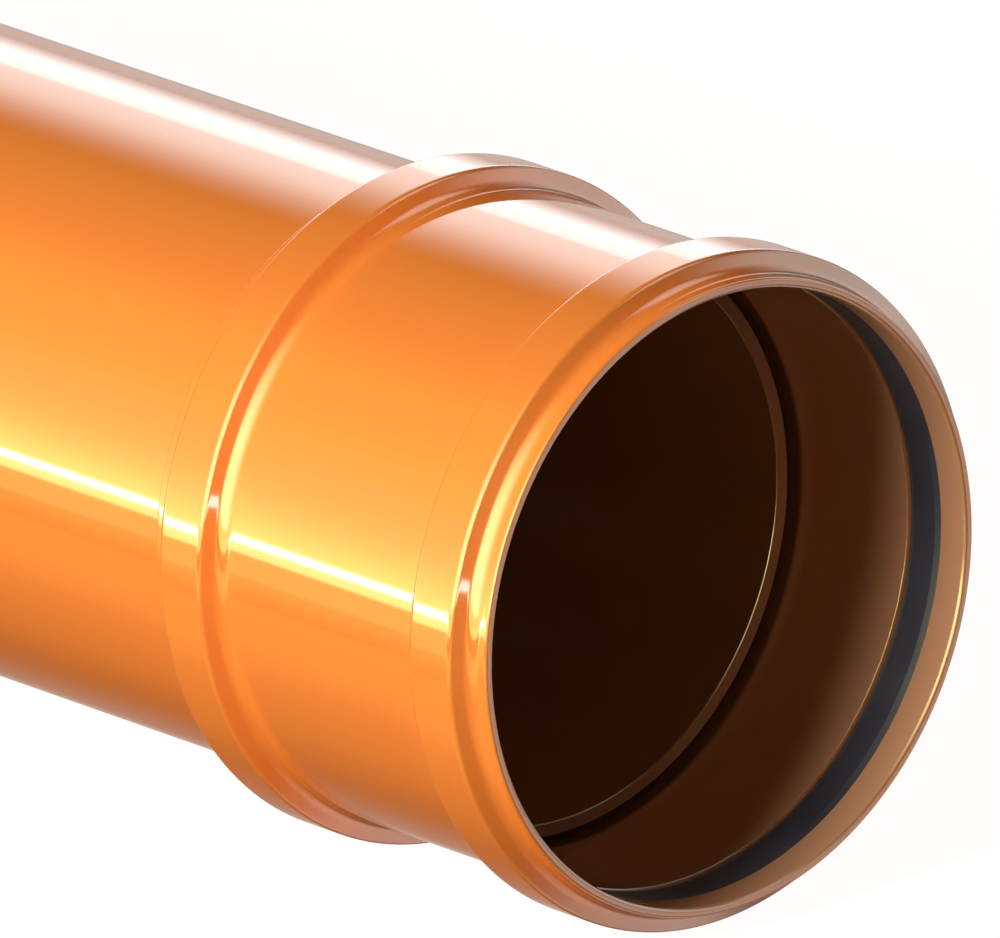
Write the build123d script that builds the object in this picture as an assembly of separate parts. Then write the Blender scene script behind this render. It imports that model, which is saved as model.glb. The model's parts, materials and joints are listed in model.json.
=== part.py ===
from build123d import *
import math
import os

# A plain-ended sewer pipe with a double-socket sleeve fitted on one end, lying on level ground.
# Sizes are millimetres. Every turned profile is drawn with X along the pipe, zero at the middle
# of the sleeve and the open mouth towards +X, and with Z as the distance from the pipe's axis.

# Pipe
pipe_diameter = 160.0
pipe_wall = 4.9
pipe_length = 500.0
cut_edge_break = 0.4
spigot_bevel_length = 7.0
spigot_bevel_angle = 15.0

# Sleeve
sleeve_length = 126.0
sleeve_wall = 2.75
socket_clearance = 1.1
fitted_clearance = 0.15
fitted_depth = 61.3
lead_in_length = 10.0
sleeve_end_radius = 0.8

# Rubber seals
seal_width = 12.3
seal_clearance = 0.1
seal_recess = 0.1
seal_grip_clearance = 0.05
seal_lip_rise = 0.7
seal_shoulder_width = 2.3
seal_edge_radius = 0.6

# Beads that hold the seals
bead_from_end = 15.4
bead_overhang = 1.2
bead_rise = 5.55
bead_wall = 2.8
bead_flank_run = 3.0
bead_edge_radius = 1.5
bead_foot_radius = 4.1
groove_flank_run = 0.8

# Radii from the pipe outwards
pipe_radius = pipe_diameter / 2
bore_radius = pipe_radius - pipe_wall
fitted_radius = pipe_radius + fitted_clearance
socket_radius = pipe_radius + socket_clearance
sleeve_radius = socket_radius + sleeve_wall
crest_radius = sleeve_radius + bead_rise
groove_radius = crest_radius - bead_wall

# Places along the axis
mouth_x = sleeve_length / 2
bead_x = mouth_x - bead_from_end
pipe_end_x = fitted_depth - mouth_x
spigot_end_x = pipe_end_x - pipe_length
groove_width = seal_width + 2 * seal_clearance
crest_half = groove_width / 2 + bead_overhang
foot_half = crest_half + bead_flank_run
groove_half = groove_width / 2
groove_floor_half = groove_half - groove_flank_run


def turned(corners):
    """Turn a closed profile about the X axis. Each corner is (x, radius, rounding)."""
    points = [(x, r) for x, r, _ in corners]
    with BuildPart() as solid:
        with BuildSketch(Plane.XZ):
            with BuildLine():
                FilletPolyline(*points, radius=[rounding for _, _, rounding in corners], close=True)
            make_face()
        revolve(axis=Axis.X)
    return solid.part


def make_pipe():
    bevel_radius = pipe_radius - spigot_bevel_length * math.tan(math.radians(spigot_bevel_angle))
    return turned([
        (spigot_end_x, bore_radius, 0),
        (spigot_end_x, bevel_radius, 0),
        (spigot_end_x + spigot_bevel_length, pipe_radius, 0),
        (pipe_end_x, pipe_radius, cut_edge_break),
        (pipe_end_x, bore_radius, cut_edge_break),
    ])


def bead_corners(middle):
    """The outside of one bead, in the order of rising X."""
    return [
        (middle - foot_half, sleeve_radius, bead_foot_radius),
        (middle - crest_half, crest_radius, bead_edge_radius),
        (middle + crest_half, crest_radius, bead_edge_radius),
        (middle + foot_half, sleeve_radius, bead_foot_radius),
    ]


def groove_corners(middle, wall_radius):
    """The seal groove inside one bead, in the order of falling X."""
    return [
        (middle + groove_half, wall_radius, 0),
        (middle + groove_floor_half, groove_radius, 0),
        (middle - groove_floor_half, groove_radius, 0),
        (middle - groove_half, wall_radius, 0),
    ]


def make_sleeve():
    outside = bead_corners(-bead_x) + bead_corners(bead_x)
    mouth = [(mouth_x, sleeve_radius, sleeve_end_radius), (mouth_x, socket_radius, sleeve_end_radius)]
    open_half = groove_corners(bead_x, socket_radius)
    lead_in = [(pipe_end_x, socket_radius, 0), (pipe_end_x - lead_in_length, fitted_radius, 0)]
    fitted_half = groove_corners(-bead_x, fitted_radius)
    back = [(-mouth_x, fitted_radius, sleeve_end_radius), (-mouth_x, sleeve_radius, sleeve_end_radius)]
    return turned(outside + mouth + open_half + lead_in + fitted_half + back)


def seal_half(radius, wall_radius):
    """Half the seal's width at a radius: the groove's own width there, less the clearance."""
    depth_share = (radius - wall_radius) / (groove_radius - wall_radius)
    return groove_half - groove_flank_run * depth_share - seal_clearance


def make_seal(middle, wall_radius, inner_radius):
    """A ring that fills its groove, with a raised sealing lip between two sloping shoulders."""
    outer_radius = groove_radius - seal_clearance
    shoulder_radius = inner_radius + seal_lip_rise
    floor_half = seal_half(outer_radius, wall_radius)
    side_half = seal_half(shoulder_radius, wall_radius)
    lip_half = seal_width / 2 - seal_shoulder_width
    return turned([
        (middle - side_half, shoulder_radius, seal_edge_radius),
        (middle - floor_half, outer_radius, 0),
        (middle + floor_half, outer_radius, 0),
        (middle + side_half, shoulder_radius, seal_edge_radius),
        (middle + lip_half, inner_radius, seal_edge_radius),
        (middle - lip_half, inner_radius, seal_edge_radius),
    ])


def rest_tilt():
    """The axis's slope, in degrees, with the spigot's edge and the nearer bead both on the ground."""
    flank_slope = math.atan2(bead_rise, bead_flank_run)
    rounding_x = -bead_x - crest_half + bead_edge_radius * math.tan(flank_slope / 2)
    rounding_r = crest_radius - bead_edge_radius
    run = rounding_x - (spigot_end_x + spigot_bevel_length)
    rise = rounding_r - pipe_radius
    slope = math.atan2(rise, run) + math.asin(bead_edge_radius / math.hypot(run, rise))
    return math.degrees(slope)


pieces = {
    "pipe": make_pipe(),
    "coupler_sleeve": make_sleeve(),
    "mouth_seal": make_seal(bead_x, socket_radius, socket_radius + seal_recess),
    "pipe_seal": make_seal(-bead_x, fitted_radius, pipe_radius + seal_grip_clearance),
}

# Lay the part down: slope the axis, then put the middle of its footprint at the origin.
sloped = {name: Rot(0, -rest_tilt(), 0) * piece for name, piece in pieces.items()}
boxes = [piece.bounding_box() for piece in sloped.values()]
middle_x = (min(box.min.X for box in boxes) + max(box.max.X for box in boxes)) / 2
ground_z = min(box.min.Z for box in boxes)
on_ground = Pos(-middle_x, 0, -ground_z)

os.makedirs("parts", exist_ok=True)
for name, piece in sloped.items():
    export_step(on_ground * piece, f"parts/{name}.step")
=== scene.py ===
import json
import math
import bmesh
import bpy
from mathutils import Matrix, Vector


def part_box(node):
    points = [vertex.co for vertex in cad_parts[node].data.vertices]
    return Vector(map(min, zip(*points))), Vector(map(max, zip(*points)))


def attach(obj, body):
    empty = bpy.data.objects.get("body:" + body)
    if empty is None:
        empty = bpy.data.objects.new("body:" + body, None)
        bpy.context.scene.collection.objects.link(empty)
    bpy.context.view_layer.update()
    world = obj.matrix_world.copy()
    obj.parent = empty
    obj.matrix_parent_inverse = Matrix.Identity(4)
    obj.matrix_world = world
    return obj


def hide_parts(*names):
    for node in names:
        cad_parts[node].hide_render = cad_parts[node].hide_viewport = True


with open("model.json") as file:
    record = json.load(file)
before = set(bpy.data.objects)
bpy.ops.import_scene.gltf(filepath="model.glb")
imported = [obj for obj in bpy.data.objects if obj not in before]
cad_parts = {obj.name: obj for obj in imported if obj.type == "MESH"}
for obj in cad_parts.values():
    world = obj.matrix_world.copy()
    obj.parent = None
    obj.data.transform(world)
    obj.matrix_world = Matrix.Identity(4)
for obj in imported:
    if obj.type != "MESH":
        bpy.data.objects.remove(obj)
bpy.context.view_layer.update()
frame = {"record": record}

mm = 0.001
scene = bpy.context.scene
scene.view_settings.view_transform = "Standard"

# the pipe's own line: middle of the sleeve, direction towards the mouth, slope on the ground
mounts = {m["name"]: m for m in frame["record"]["mounts"]}
axis = Vector(mounts["socket"]["axis"]).normalized()
slope = math.asin(axis.z)
sleeveLow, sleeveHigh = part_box("coupler_sleeve")
middle = (sleeveLow + sleeveHigh) / 2
print("frame loaded, slope", round(math.degrees(slope), 3))


class Sock:
    # a socket with arithmetic: each operation adds one Math node
    def __init__(self, book, out):
        self.book, self.out = book, out

    def maths(self, operation, first, second):
        return self.book.node("ShaderNodeMath", {"operation": operation}, {0: first, 1: second})

    def __add__(self, other):
        return self.maths("ADD", self, other)

    def __radd__(self, other):
        return self.maths("ADD", other, self)

    def __sub__(self, other):
        return self.maths("SUBTRACT", self, other)

    def __rsub__(self, other):
        return self.maths("SUBTRACT", other, self)

    def __mul__(self, other):
        return self.maths("MULTIPLY", self, other)

    def __rmul__(self, other):
        return self.maths("MULTIPLY", other, self)

    def __truediv__(self, other):
        return self.maths("DIVIDE", self, other)

    def __rtruediv__(self, other):
        return self.maths("DIVIDE", other, self)


class Book:
    # one node tree; every node that isn't plain arithmetic comes from node()
    def __init__(self, tree):
        self.tree = tree

    def node(self, kind, settings=None, values=None, out=0):
        made = self.tree.nodes.new(kind)
        for key, value in (settings or {}).items():
            setattr(made, key, value)
        for key, value in (values or {}).items():
            if isinstance(value, Sock):
                self.tree.links.new(value.out, made.inputs[key])
            else:
                made.inputs[key].default_value = value
        return Sock(self, made.outputs[out]) if made.outputs else None

    def mixColour(self, factor, first, second):
        return self.node("ShaderNodeMix", {"data_type": "RGBA"}, {0: factor, 6: first, 7: second}, out=2)

    def ramp(self, value, ends):
        # 0 at the first end, 1 at the second
        return self.node("ShaderNodeMapRange", {"interpolation_type": "SMOOTHSTEP"},
                         {"Value": value, "From Min": ends[0], "From Max": ends[1]})


def newMaterial(name):
    material = bpy.data.materials.new(name)
    material.use_nodes = True
    material.node_tree.nodes.clear()
    return material, Book(material.node_tree)


noiseMean = 0.5

# smooth orange polypropylene: faint lines along the pipe, faint mottling, a darker brown inside that is
# painted shade, a matte machined end in the sleeve painted dark brown as shade, with a darker painted
# shade in the gap round it
plasticFinish = {
    "deep": (0.90, 0.240, 0.034, 1),
    "light": (0.95, 0.268, 0.042, 1),
    # painted shade: the bore and the socket inside are painted a darker brown than the outside
    "paintedBoreShade": ((0.31, 0.150, 0.066, 1), (0.35, 0.170, 0.078, 1)),
    "paintedSocketShade": ((0.55, 0.265, 0.125, 1), (0.61, 0.300, 0.150, 1)),
    # painted shade in the gap round the pipe's end inside the sleeve
    "paintedGapShade": (0.12, 0.052, 0.022, 1),
    # the machined end: its matte finish is its own, its dark brown is painted shade
    "machinedAndShaded": {"Base Color": (0.20, 0.096, 0.080, 1), "Roughness": 0.6, "Specular IOR Level": 0.15},
    "gloss": {"IOR": 1.5, "Specular IOR Level": 1.0},
    "roughness": 0.05,
    "roughnessSpread": 0.03,
    "insideRoughness": 0.16,
    "streakStretch": (1.2, 70, 70),    # long along the pipe, fine across it
    "streaks": {"Scale": 1, "Detail": 4},
    "mottle": {"Scale": 14, "Detail": 3},
    "bump": {"Strength": 0.006, "Distance": 1.0 * mm},
}


def orangePlastic(name, insideShade, insideTo, machinedShadeFrom=None, gapShadeTo=None):
    # insideTo: radii in mm between which the painted shade inside gives way to the outside colour
    # machined end: places along the pipe between which it starts; matte, with its dark brown painted as
    # shade
    # gap: places between which the painted shade in the gap gives way to the painted shade inside
    look = plasticFinish
    material, book = newMaterial(name)
    place = book.node("ShaderNodeTexCoord", out="Object")
    lengthwise = book.node("ShaderNodeMapping", None,
                           {"Vector": place, "Rotation": (0, slope, 0), "Scale": look["streakStretch"]})
    streaks = book.node("ShaderNodeTexNoise", None, {"Vector": lengthwise} | look["streaks"])
    mottle = book.node("ShaderNodeTexNoise", None, {"Vector": place} | look["mottle"])
    tone = (streaks + mottle) / 2
    fromMiddle = book.node("ShaderNodeVectorMath", {"operation": "SUBTRACT"}, {0: place, 1: middle})
    swing = book.node("ShaderNodeVectorMath", {"operation": "CROSS_PRODUCT"}, {0: fromMiddle, 1: axis})
    radius = book.node("ShaderNodeVectorMath", {"operation": "LENGTH"}, {0: swing}, out="Value") / mm
    along = book.node("ShaderNodeVectorMath", {"operation": "DOT_PRODUCT"},
                      {0: fromMiddle, 1: axis}, out="Value") / mm
    outer = book.ramp(radius, insideTo)
    outside = outer
    if machinedShadeFrom:
        cut = book.ramp(along, machinedShadeFrom)
        outside = outer * (1 - cut)
    # painted shade: the inside is painted a darker brown than the outside
    inner = book.mixColour(tone, *look[insideShade])
    # painted shade: darker still in the gap round the pipe's end
    if gapShadeTo:
        inner = book.mixColour(book.ramp(along, gapShadeTo), look["paintedGapShade"], inner)
    roughness = look["insideRoughness"] + (look["roughness"] - look["insideRoughness"]) * outside
    surface = book.node("ShaderNodeBsdfPrincipled", None, {
        "Base Color": book.mixColour(outside, inner, book.mixColour(tone, look["deep"], look["light"])),
        "Roughness": roughness + look["roughnessSpread"] * (mottle - noiseMean),
        "Normal": book.node("ShaderNodeBump", None, {"Height": streaks} | look["bump"]),
    } | look["gloss"])
    # the machined end: matte, and painted dark brown as shade
    if machinedShadeFrom:
        sawnAndShaded = book.node("ShaderNodeBsdfPrincipled", None, look["machinedAndShaded"])
        surface = book.node("ShaderNodeMixShader", None, {0: outer * cut, 1: surface, 2: sawnAndShaded})
    book.node("ShaderNodeOutputMaterial", None, {"Surface": surface})
    return material


# black sealing rubber with a fine bloom
rubberFinish = {
    "dark": (0.021, 0.021, 0.032, 1),
    "pale": (0.060, 0.060, 0.090, 1),
    "roughness": 0.42,
    "roughnessSpread": 0.12,
    "bloom": {"Scale": 40, "Detail": 2},
    "grain": {"Scale": 900, "Detail": 3},
    "bump": {"Strength": 0.05, "Distance": 0.2 * mm},
}


def blackRubber(name):
    look = rubberFinish
    material, book = newMaterial(name)
    place = book.node("ShaderNodeTexCoord", out="Object")
    grain = book.node("ShaderNodeTexNoise", None, {"Vector": place} | look["grain"])
    bloom = book.node("ShaderNodeTexNoise", None, {"Vector": place} | look["bloom"])
    shader = book.node("ShaderNodeBsdfPrincipled", None, {
        "Base Color": book.mixColour(bloom, look["dark"], look["pale"]),
        "Roughness": look["roughness"] + look["roughnessSpread"] * (bloom - noiseMean),
        "Normal": book.node("ShaderNodeBump", None, {"Height": grain} | look["bump"]),
    })
    book.node("ShaderNodeOutputMaterial", None, {"Surface": shader})
    return material


turning = {
    "sides": 288,
    "arcStep": 7.5,      # degrees between points on a rounding
    "fewestSteps": 2,    # on any rounding
    "support": 0.35,     # mm, a point on the straight just past each rounding
    "weld": 1e-6,        # m, closes the seams
}


def profilePoints(corners):
    # (x, radius, rounding) corners in mm, closed; straights stay flat because of the support points
    points = []
    count = len(corners)
    spots = [Vector(corner[:2]) for corner in corners]
    roundings = [corner[2] for corner in corners]
    reaches = []
    for i, rounding in enumerate(roundings):
        inside = (spots[i - 1] - spots[i]).angle(spots[(i + 1) % count] - spots[i])
        reaches.append(rounding / math.tan(inside / 2))
    for i, rounding in enumerate(roundings):
        here, reach = spots[i], reaches[i]
        before, after = spots[i - 1] - here, spots[(i + 1) % count] - here
        toBefore, toAfter = before.normalized(), after.normalized()
        inside = toBefore.angle(toAfter)
        turn = math.pi - inside
        steps = max(turning["fewestSteps"], math.ceil(math.degrees(turn) / turning["arcStep"]))
        bisector = (toBefore + toAfter).normalized()
        centre = here + bisector * rounding / math.sin(inside / 2)
        spare = turning["support"]
        if before.length > reach + reaches[i - 1] + 2 * spare:
            points.append(here + toBefore * (reach + spare))
        start = here + toBefore * reach - centre
        side = math.copysign(1, toBefore.x * toAfter.y - toBefore.y * toAfter.x)
        for step in range(steps + 1):
            swing = -side * turn * step / steps
            cosine, sine = math.cos(swing), math.sin(swing)
            arm = Vector((start.x * cosine - start.y * sine, start.x * sine + start.y * cosine))
            points.append(centre + arm)
        if after.length > reach + reaches[(i + 1) % count] + 2 * spare:
            points.append(here + toAfter * (reach + spare))
    return points


def turningTree():
    # turns the points of a profile about the pipe's line
    tree = bpy.data.node_groups.new("turnedPiece", "GeometryNodeTree")
    book = Book(tree)
    takes = {
        "Profile": "NodeSocketGeometry",
        "Points": "NodeSocketInt",
        "Sides": "NodeSocketInt",
        "Slope": "NodeSocketFloat",
        "Middle": "NodeSocketVector",
        "Finish": "NodeSocketMaterial",
    }
    for label, kind in takes.items():
        tree.interface.new_socket(label, in_out="INPUT", socket_type=kind)
    tree.interface.new_socket("Piece", in_out="OUTPUT", socket_type="NodeSocketGeometry")
    source = tree.nodes.new("NodeGroupInput")
    given = {s.name: Sock(book, s) for s in source.outputs if s.name}
    ring = given["Sides"] + 1
    grid = book.node("GeometryNodeMeshGrid", None, {"Vertices X": given["Points"] + 1, "Vertices Y": ring})
    index = book.node("GeometryNodeInputIndex")
    halfStep = 0.5    # keeps the whole parts below clear of rounding
    row = book.node("ShaderNodeMath", {"operation": "FLOOR"}, {0: (index + halfStep) / ring})
    column = index - row * ring
    rounds = book.node("ShaderNodeMath", {"operation": "FLOOR"}, {0: (row + halfStep) / given["Points"]})
    which = row - given["Points"] * rounds
    spot = book.node("GeometryNodeSampleIndex", {"data_type": "FLOAT_VECTOR", "domain": "POINT"},
                     {"Geometry": given["Profile"], "Value": book.node("GeometryNodeInputPosition"),
                      "Index": which})
    alongX = book.node("ShaderNodeSeparateXYZ", None, {0: spot}, out="X")
    radius = book.node("ShaderNodeSeparateXYZ", None, {0: spot}, out="Z")
    angle = column / given["Sides"] * (2 * math.pi)
    ringed = book.node("ShaderNodeCombineXYZ", None, {
        "X": alongX,
        "Y": radius * book.node("ShaderNodeMath", {"operation": "SINE"}, {0: angle}),
        "Z": radius * book.node("ShaderNodeMath", {"operation": "COSINE"}, {0: angle}),
    })
    sloped = book.node("ShaderNodeVectorRotate", {"rotation_type": "Y_AXIS"},
                       {"Vector": ringed, "Angle": 0 - given["Slope"]})
    placed = book.node("ShaderNodeVectorMath", {"operation": "ADD"}, {0: sloped, 1: given["Middle"]})
    turned = book.node("GeometryNodeSetPosition", None, {"Geometry": grid, "Position": placed})
    closed = book.node("GeometryNodeMergeByDistance", None,
                       {"Geometry": turned, "Distance": turning["weld"]})
    smooth = book.node("GeometryNodeSetShadeSmooth", None, {"Geometry": closed})
    real = book.node("GeometryNodeRealizeInstances", None, {"Geometry": smooth})
    done = book.node("GeometryNodeSetMaterial", None, {"Geometry": real, "Material": given["Finish"]})
    end = tree.nodes.new("NodeGroupOutput")
    tree.links.new(done.out, end.inputs[0])
    return tree


turner = turningTree()


def turnedPiece(name, node, corners, finish):
    points = profilePoints(corners)
    outline = bpy.data.meshes.new(name + "Profile")
    outline.from_pydata([(p.x * mm, 0, p.y * mm) for p in points], [], [])
    piece = bpy.data.objects.new(name, outline)
    scene.collection.objects.link(piece)
    modifier = piece.modifiers.new("turned", "NODES")
    modifier.node_group = turner
    inputs = {s.name: s.identifier for s in turner.interface.items_tree if s.in_out == "INPUT"}
    modifier[inputs["Points"]] = len(points)
    modifier[inputs["Sides"]] = turning["sides"]
    modifier[inputs["Slope"]] = slope
    modifier[inputs["Middle"]] = middle
    modifier[inputs["Finish"]] = finish
    solid = bpy.data.meshes.new_from_object(piece.evaluated_get(bpy.context.evaluated_depsgraph_get()))
    piece.modifiers.clear()
    piece.data = solid
    solid.name = name
    tidy = bmesh.new()
    tidy.from_mesh(solid)
    bmesh.ops.recalc_face_normals(tidy, faces=tidy.faces)
    tidy.to_mesh(solid)
    tidy.free()
    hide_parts(node)
    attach(piece, "root")
    print("turned", name, len(points), "points,", len(solid.polygons), "faces")


pipeSizes = {
    "radius": 80.0,
    "wall": 4.9,
    "length": 500.0,
    "cutEdge": 0.4,
    "bevelLength": 7.0,
    "bevelAngle": 15.0,
    "fittedBevel": 1.25,        # depth of the bevel on the end inside the sleeve
    "softEdge": 0.25,
    "shadedInsideDepth": (0.1, 0.4),    # from the bore outwards, where the painted shade inside gives way
    "machinedShadeSoft": 0.2,        # run over which the machined end, painted dark brown as shade, starts
}

sleeveSizes = {
    "length": 126.0,
    "wall": 2.75,
    "socketClearance": 1.1,
    "fittedClearance": 0.15,
    "fittedDepth": 61.3,
    "leadIn": 10.0,
    "endRadius": 0.8,
    "lipRadius": 1.1,           # rounding inside the mouth
    "beadFromEnd": 15.4,
    "beadOverhang": 1.2,
    "beadRise": 5.55,
    "beadWall": 2.8,
    "flankRun": 3.0,
    "edgeRadius": 1.5,
    "footRadius": 4.1,
    "grooveRun": 0.8,
    "grooveEdge": 0.2,
    "shadedInsideDepth": (0.3, 1.0),    # from the socket's wall outwards, where the painted shade inside gives way
    "gapShadeReach": (1.8, 4.2),     # from the pipe's end towards the mouth, where the painted shade in the gap gives way
}

sealSizes = {
    "width": 12.3,
    "clearance": 0.1,
    "recess": 0.1,
    "grip": 0.05,
    "lipRise": 0.7,
    "shoulderWidth": 2.3,
    "edgeRadius": 0.6,
    "softEdge": 0.3,
}

mouthX = sleeveSizes["length"] / 2
beadX = mouthX - sleeveSizes["beadFromEnd"]
pipeEndX = sleeveSizes["fittedDepth"] - mouthX
spigotX = pipeEndX - pipeSizes["length"]
boreRadius = pipeSizes["radius"] - pipeSizes["wall"]
bevelSlope = math.tan(math.radians(pipeSizes["bevelAngle"]))
fittedBevelX = pipeEndX - pipeSizes["fittedBevel"] / bevelSlope
spigotBevelX = spigotX + pipeSizes["bevelLength"]
socketRadius = pipeSizes["radius"] + sleeveSizes["socketClearance"]
fittedRadius = pipeSizes["radius"] + sleeveSizes["fittedClearance"]
sleeveRadius = socketRadius + sleeveSizes["wall"]
crestRadius = sleeveRadius + sleeveSizes["beadRise"]
grooveRadius = crestRadius - sleeveSizes["beadWall"]
grooveHalf = sealSizes["width"] / 2 + sealSizes["clearance"]
crestHalf = grooveHalf + sleeveSizes["beadOverhang"]


def pipeCorners():
    size = pipeSizes
    bevelRadius = size["radius"] - size["bevelLength"] * bevelSlope
    return [
        (spigotX, boreRadius, size["softEdge"]),
        (spigotX, bevelRadius, size["softEdge"]),
        (spigotBevelX, size["radius"], size["softEdge"]),
        (fittedBevelX, size["radius"], size["softEdge"]),
        (pipeEndX, size["radius"] - size["fittedBevel"], size["softEdge"]),
        (pipeEndX, boreRadius, size["cutEdge"]),
    ]


def beadCorners(where):
    size = sleeveSizes
    footHalf = crestHalf + size["flankRun"]
    return [
        (where - footHalf, sleeveRadius, size["footRadius"]),
        (where - crestHalf, crestRadius, size["edgeRadius"]),
        (where + crestHalf, crestRadius, size["edgeRadius"]),
        (where + footHalf, sleeveRadius, size["footRadius"]),
    ]


def grooveCorners(where, wallRadius):
    edge = sleeveSizes["grooveEdge"]
    floorHalf = grooveHalf - sleeveSizes["grooveRun"]
    return [
        (where + grooveHalf, wallRadius, edge),
        (where + floorHalf, grooveRadius, edge),
        (where - floorHalf, grooveRadius, edge),
        (where - grooveHalf, wallRadius, edge),
    ]


def sleeveCorners():
    end = sleeveSizes["endRadius"]
    leadIn = [(pipeEndX, socketRadius, end), (pipeEndX - sleeveSizes["leadIn"], fittedRadius, end)]
    return (
        beadCorners(-beadX) + beadCorners(beadX)
        + [(mouthX, sleeveRadius, end), (mouthX, socketRadius, sleeveSizes["lipRadius"])]
        + grooveCorners(beadX, socketRadius) + leadIn + grooveCorners(-beadX, fittedRadius)
        + [(-mouthX, fittedRadius, end), (-mouthX, sleeveRadius, end)]
    )


def sealHalf(radius, wallRadius):
    share = (radius - wallRadius) / (grooveRadius - wallRadius)
    return grooveHalf - sleeveSizes["grooveRun"] * share - sealSizes["clearance"]


def sealCorners(where, wallRadius, innerRadius):
    size = sealSizes
    outer = grooveRadius - size["clearance"]
    shoulder = innerRadius + size["lipRise"]
    floorHalf, sideHalf = sealHalf(outer, wallRadius), sealHalf(shoulder, wallRadius)
    lipHalf = size["width"] / 2 - size["shoulderWidth"]
    edge = size["edgeRadius"]
    return [
        (where - sideHalf, shoulder, edge),
        (where - floorHalf, outer, size["softEdge"]),
        (where + floorHalf, outer, size["softEdge"]),
        (where + sideHalf, shoulder, edge),
        (where + lipHalf, innerRadius, edge),
        (where - lipHalf, innerRadius, edge),
    ]


def past(start, reach):
    return tuple(start + step for step in reach)


# the bore, the socket and the gap round the pipe's end carry painted shade; the pipe's machined end is
# painted dark brown as shade
pipePlastic = orangePlastic("pipePlastic", "paintedBoreShade", past(boreRadius, pipeSizes["shadedInsideDepth"]),
                            machinedShadeFrom=(fittedBevelX - pipeSizes["machinedShadeSoft"], fittedBevelX))
sleevePlastic = orangePlastic("sleevePlastic", "paintedSocketShade", past(socketRadius, sleeveSizes["shadedInsideDepth"]),
                              gapShadeTo=past(pipeEndX, sleeveSizes["gapShadeReach"]))
sealRubber = blackRubber("sealRubber")

turnedPiece("orangePipe", "pipe", pipeCorners(), pipePlastic)
turnedPiece("beadedSleeve", "coupler_sleeve", sleeveCorners(), sleevePlastic)
turnedPiece("mouthSeal", "mouth_seal",
            sealCorners(beadX, socketRadius, socketRadius + sealSizes["recess"]), sealRubber)
turnedPiece("pipeSeal", "pipe_seal",
            sealCorners(-beadX, fittedRadius, pipeSizes["radius"] + sealSizes["grip"]), sealRubber)


# camera: nearly parallel view, azimuth as seen from the front, turned towards the mouth
cameraSet = {
    "azimuth": 47.925,
    "elevation": 19.583,
    "lens": 1500,
    "sensor": 36,
    "frameWidth": 255.82,    # mm across the picture at the pipe's line
    "aimAlong": -30.45,      # mm from the sleeve's middle, along the pipe
    "aimAcross": 12.32,      # mm from the pipe's line, across the picture's slope
    "pictureSlope": 18.89,   # degrees that the pipe falls to the right in the picture
    "nearClip": 0.1,         # m
    "farClip": 4,            # times the camera's distance
}


def makeCamera():
    look = cameraSet
    turn, lift = math.radians(look["azimuth"]), math.radians(look["elevation"])
    back = Vector((math.sin(turn) * math.cos(lift), -math.cos(turn) * math.cos(lift), math.sin(lift)))
    right = Vector((math.cos(turn), math.sin(turn), 0))
    up = back.cross(right)
    fall = math.radians(look["pictureSlope"])
    across = right * math.sin(fall) + up * math.cos(fall)
    aim = middle + axis * look["aimAlong"] * mm + across * look["aimAcross"] * mm
    data = bpy.data.cameras.new("photoCamera")
    data.lens, data.sensor_width = look["lens"], look["sensor"]
    distance = look["frameWidth"] * mm * look["lens"] / look["sensor"]
    data.clip_start, data.clip_end = look["nearClip"], look["farClip"] * distance
    camera = bpy.data.objects.new("photoCamera", data)
    camera.location = aim + back * distance
    camera.rotation_euler = (-back).to_track_quat("-Z", "Y").to_euler()
    scene.collection.objects.link(camera)
    scene.camera = camera


makeCamera()
print("camera set")

# white studio floor; seen directly it is paper white and keeps a soft shadow
floorSet = {
    "half": 60.0,
    "below": 0.2 * mm,
    "albedo": (0.20, 0.155, 0.13, 1),
    "seen": 0.955,
}


def seenDirectly(book):
    # 1 for the eye, a mirror or glass, 0 for the light that falls on the object
    camera = book.node("ShaderNodeLightPath", out="Is Camera Ray")
    glossy = book.node("ShaderNodeLightPath", out="Is Glossy Ray")
    through = book.node("ShaderNodeLightPath", out="Is Transmission Ray")
    return camera + glossy + through


def makeFloor():
    look = floorSet
    half, level = look["half"], -look["below"]
    corners = [(-half, -half, level), (half, -half, level), (half, half, level), (-half, half, level)]
    sheet = bpy.data.meshes.new("studioFloor")
    sheet.from_pydata(corners, [], [(0, 1, 2, 3)])
    floor = bpy.data.objects.new("studioFloor", sheet)
    scene.collection.objects.link(floor)
    material, book = newMaterial("studioPaper")
    glow = book.node("ShaderNodeEmission", None, {"Strength": look["seen"] * seenDirectly(book)})
    paper = book.node("ShaderNodeBsdfDiffuse", None, {"Color": look["albedo"]})
    both = book.node("ShaderNodeAddShader", None, {0: glow, 1: paper})
    book.node("ShaderNodeOutputMaterial", None, {"Surface": both})
    sheet.materials.append(material)
    floor.visible_glossy = False


makeFloor()

# the room: white to the eye, a low even light on the object
roomSet = {
    "colour": (1, 1, 1, 1),
    "white": 1.0,
    "ambient": 0.035,
}


def makeRoom():
    look = roomSet
    world = bpy.data.worlds.new("studioRoom")
    world.use_nodes = True
    world.node_tree.nodes.clear()
    book = Book(world.node_tree)
    shade = book.node("ShaderNodeBackground", None, {
        "Color": look["colour"],
        "Strength": look["ambient"] + (look["white"] - look["ambient"]) * seenDirectly(book),
    })
    book.node("ShaderNodeOutputWorld", None, {"Surface": shade})
    scene.world = world


makeRoom()

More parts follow.
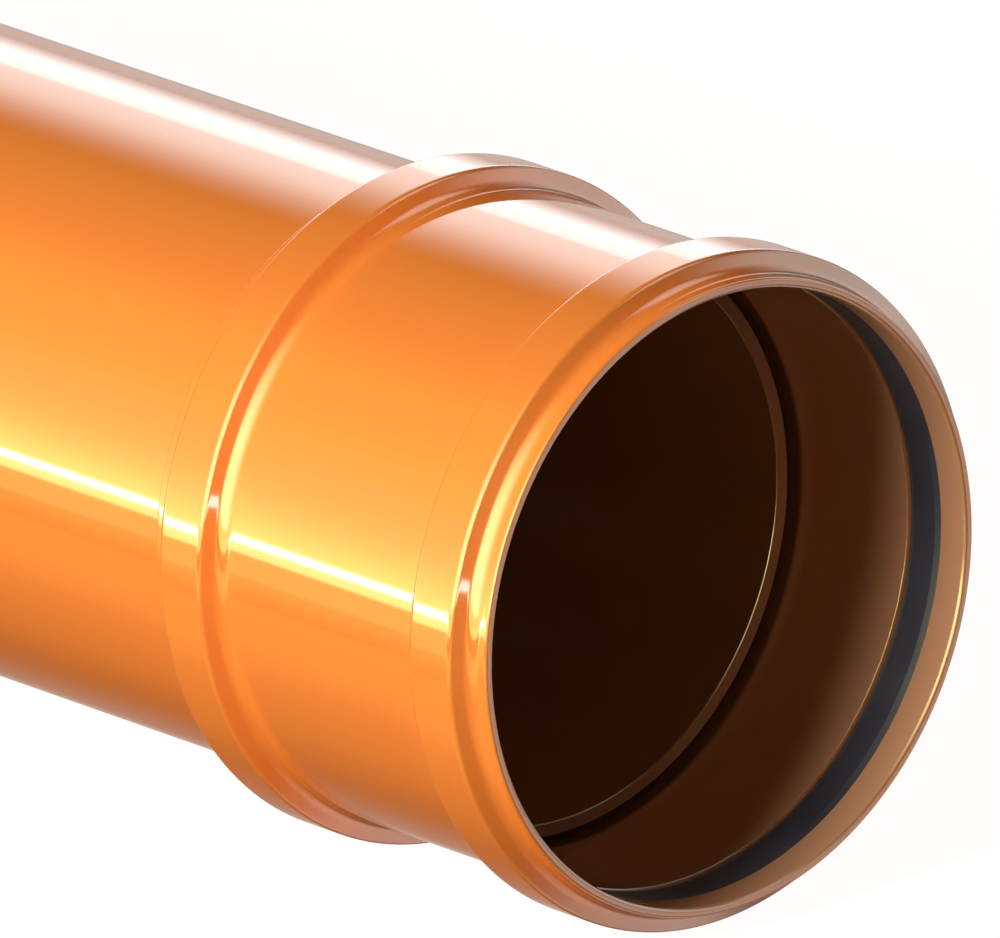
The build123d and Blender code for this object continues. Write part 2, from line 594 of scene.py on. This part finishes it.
# what the gloss mirrors: a wide dome with soft boxes painted by direction. angles go round the pipe,
# 0 level towards the front, 90 overhead, 180 level behind, 270 straight down; left and right bound a box
# along the pipe, -1 at the spigot's side and 1 at the mouth's; each edge is soft between its two numbers
domeSet = {
    "radius": 50.0,
    "segments": (48, 24),
    "turnStart": 100.0,    # the angles run on from here
    "left": (-1.0, -0.83),
    "right": (0.86, 0.97),
    "dim": {"colour": (1, 0.8, 0.7, 1), "strength": 0.04},
    "boxes": {
        "backWall": {"from": (166, 176), "to": (172, 232), "right": (-0.55, -0.25),
                     "colour": (1, 0.86, 0.78, 1), "strength": 1.0},
        "backStrip": {"from": (149, 150.5), "to": (160, 178), "right": (-0.55, -0.25),
                      "colour": (1, 1, 1, 1), "strength": 3.8},
        "backGlow": {"from": (112, 142.5), "to": (149, 150.5), "right": (-0.55, -0.25),
                     "colour": (1, 0.97, 0.93, 1), "strength": 2.95},
        "warmFloor": {"from": (200, 216), "to": (226, 268),
                      "colour": (1, 0.64, 0.48, 1), "strength": 0.5},
        "lowBand": {"from": (296, 314), "to": (326, 328),
                    "colour": (1, 0.65, 0.10, 1), "strength": 0.5},
        "lowGlow": {"from": (327, 337), "to": (335.4, 337.4),
                    "colour": (1, 0.78, 0.16, 1), "strength": 0.8},
        "shelf": {"from": (335.4, 337.4), "to": (344, 345.4),
                  "colour": (1, 0.80, 0.22, 1), "strength": 1.75},
        "underLine": {"from": (344, 345.4), "to": (347.4, 348.6), "right": (-0.62, -0.45),
                      "colour": (1, 0.87, 0.32, 1), "strength": 7.4},
        "brightLine": {"from": (347.4, 348.6), "to": (350.4, 351.6), "right": (-0.62, -0.45),
                       "colour": (1, 1, 0.94, 1), "strength": 10.5},
        "endLight": {"from": (340, 341.2), "to": (345.8, 347), "left": (0.92, 0.94), "right": (1.2, 1.3),
                     "colour": (1, 0.96, 0.85, 1), "strength": 10.0},
        "sideBox": {"from": (356, 359), "to": (384, 432), "left": (-0.74, 0.45),
                    "colour": (1, 0.94, 0.46, 1), "strength": 8.0},
        "sideWall": {"from": (136, 160), "to": (176, 202), "left": (-0.35, 0.10),
                     "colour": (1, 0.85, 0.72, 1), "strength": 3.0},
        "endGlow": {"from": (194, 202), "to": (210, 218), "left": (0.48, 0.60), "right": (0.82, 0.92),
                    "colour": (1, 0.70, 0.55, 1), "strength": 2.6},
        "sideFloor": {"from": (222, 236), "to": (254, 280), "left": (-0.30, 0.20), "right": (0.38, 0.66),
                      "colour": (1, 0.78, 0.64, 1), "strength": 1.9},
        "topGlow": {"from": (106, 118), "to": (128, 140), "left": (0.10, 0.35), "right": (0.60, 0.75),
                    "colour": (1, 0.96, 0.92, 1), "strength": 2.4},
        "rimGlow": {"from": (188, 198), "to": (214, 226), "left": (-0.45, -0.20), "right": (0.40, 0.60),
                    "colour": (1, 0.46, 0.18, 1), "strength": 3.2},
        "leftEnd": {"from": (90, 95), "to": (465, 470), "left": (-1.3, -1.2), "right": (-0.97, -0.86),
                    "colour": (1, 0.56, 0.28, 1), "strength": 0.5},
        "rightEnd": {"from": (90, 95), "to": (465, 470), "left": (0.93, 0.99), "right": (1.2, 1.3),
                     "colour": (1, 0.56, 0.28, 1), "strength": 0.5},
        "frontGlow": {"from": (370, 392), "to": (412, 440),
                      "colour": (1, 0.80, 0.05, 1), "strength": 0.5},
        "front": {"from": (349.5, 351.5), "to": (430, 459), "fall": 18.0,
                  "colour": (1, 0.86, 0.26, 1), "strength": 6.8},
    },
}


def makeDome():
    look = domeSet
    around, rings = look["segments"]
    mesh = bpy.data.meshes.new("studioDome")
    ball = bmesh.new()
    bmesh.ops.create_uvsphere(ball, u_segments=around, v_segments=rings, radius=look["radius"])
    ball.to_mesh(mesh)
    ball.free()
    material, book = newMaterial("studioSoftBoxes")
    place = book.node("ShaderNodeTexCoord", out="Object")
    heading = book.node("ShaderNodeVectorMath", {"operation": "NORMALIZE"}, {0: place})
    sideways = book.node("ShaderNodeSeparateXYZ", None, {0: heading}, out="X")
    forward = book.node("ShaderNodeSeparateXYZ", None, {0: heading}, out="Y")
    height = book.node("ShaderNodeSeparateXYZ", None, {0: heading}, out="Z")
    start = look["turnStart"]
    angle = book.node("ShaderNodeMath", {"operation": "ARCTAN2"}, {0: height, 1: 0 - forward})
    turn = book.node("ShaderNodeMath", {"operation": "WRAP"},
                     {0: angle * (180 / math.pi), 1: start + 360.0, 2: start})
    light = book.node("ShaderNodeEmission", None,
                      {"Color": look["dim"]["colour"], "Strength": look["dim"]["strength"]})
    for box in look["boxes"].values():
        shine = box["strength"]
        if "fall" in box:    # fades on past its first edge
            shine = shine * book.node("ShaderNodeMath", {"operation": "POWER"},
                                      {0: math.e, 1: (box["from"][1] - turn) / box["fall"]})
        inBox = book.ramp(turn, box["from"]) * (1 - book.ramp(turn, box["to"]))
        inBox = inBox * book.ramp(sideways, box.get("left", look["left"]))
        inBox = inBox * (1 - book.ramp(sideways, box.get("right", look["right"])))
        glow = book.node("ShaderNodeEmission", None, {"Color": box["colour"], "Strength": shine * inBox})
        light = book.node("ShaderNodeAddShader", None, {0: light, 1: glow})
    book.node("ShaderNodeOutputMaterial", None, {"Surface": light})
    material.cycles.emission_sampling = "NONE"
    mesh.materials.append(material)
    dome = bpy.data.objects.new("studioDome", mesh)
    scene.collection.objects.link(dome)
    dome.visible_camera = False
    dome.visible_diffuse = False
    dome.visible_shadow = False


makeDome()

# lamps for the plain light, aimed at the sleeve and kept out of the gloss
lampSet = {
    "keyLamp": {"from": (0.08, -0.927, 0.375), "distance": 2.0, "size": 0.7, "watts": 48.5},
    "backLamp": {"from": (-0.35, 0.93, 0.07), "distance": 2.5, "size": 0.5, "watts": 42},
}


def makeLamp(name, look):
    data = bpy.data.lights.new(name, "AREA")
    data.shape, data.size, data.energy = "DISK", look["size"], look["watts"]
    lamp = bpy.data.objects.new(name, data)
    towards = Vector(look["from"]).normalized()
    lamp.location = middle + towards * look["distance"]
    lamp.rotation_euler = towards.to_track_quat("Z", "Y").to_euler()
    lamp.visible_camera = False
    lamp.visible_glossy = False
    scene.collection.objects.link(lamp)


for lampName, lampLook in lampSet.items():
    makeLamp(lampName, lampLook)
print("floor, room, soft boxes and lamps set")
